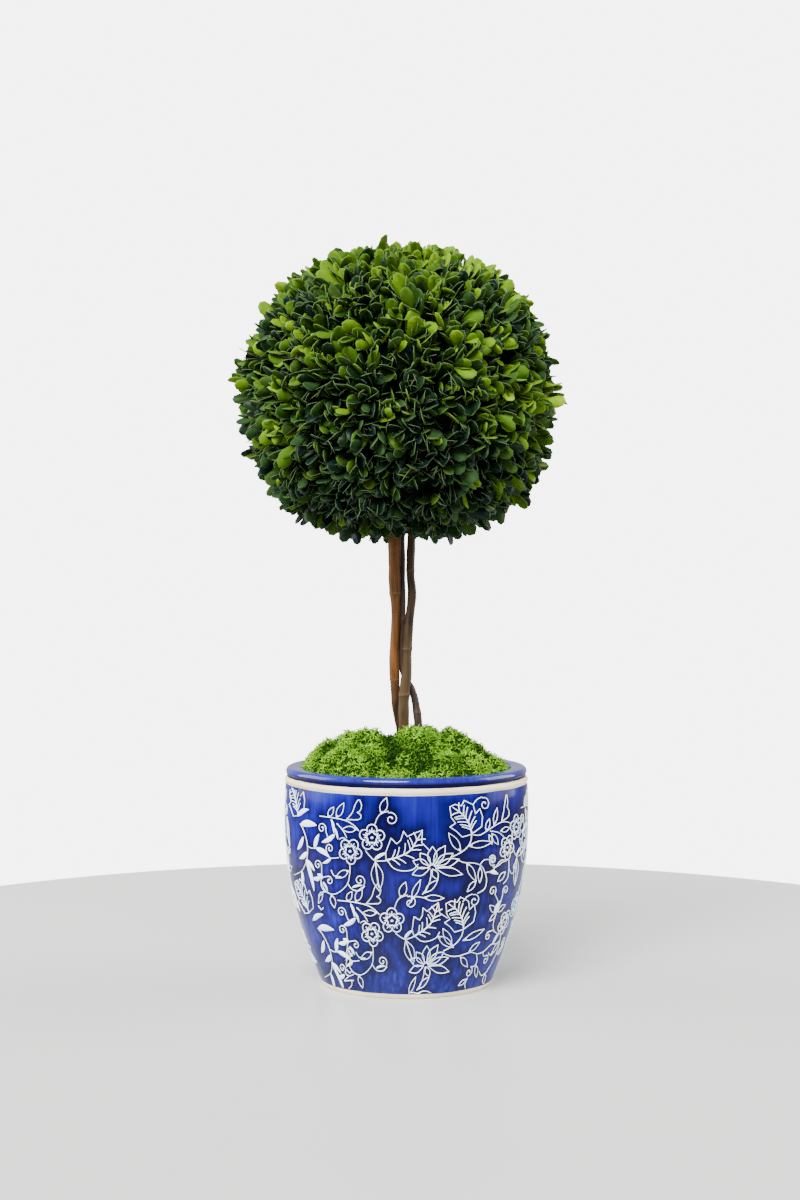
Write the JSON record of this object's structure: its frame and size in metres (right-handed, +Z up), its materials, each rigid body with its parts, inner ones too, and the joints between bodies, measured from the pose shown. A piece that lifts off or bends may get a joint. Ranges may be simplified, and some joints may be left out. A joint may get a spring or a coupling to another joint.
{
  "type": "potted box topiary ball",
  "caption": "Clipped ball of box foliage on slim twining stems, standing in a round glazed pot topped with moss.",
  "frame": {"origin": "the centre of the pot's flat underside", "axes": "+Z up along the pot's axis to the ball; -Y is the front, and +X is to the right seen from there"},
  "size_m": [0.2393, 0.2372, 0.5493],
  "materials": {
    "glaze": "glossy cobalt glaze, brushed on, over raised scroll lines",
    "clay": "cream, satin, left bare of blue at the two bands and on the raised lines",
    "filling": "dull, hidden under the moss",
    "bark": "smooth thin bark with a satin sheen",
    "moss": "springy, matte, bright green tufts",
    "leaf": "small satin leaves in mixed greens"
  },
  "bodies": {
    "root": {"pot": "glaze", "pot_filling": "filling", "stem_left": "bark", "stem_middle": "bark", "stem_right": "bark", "moss_front": "moss", "moss_mid_left": "moss", "moss_mid_right": "moss", "moss_back": "moss", "moss_back_left": "moss", "moss_back_right": "moss", "moss_front_left": "moss", "moss_front_right": "moss", "moss_left": "moss", "moss_right": "moss", "foliage_ball": "leaf"}
  },
  "joints": []
}
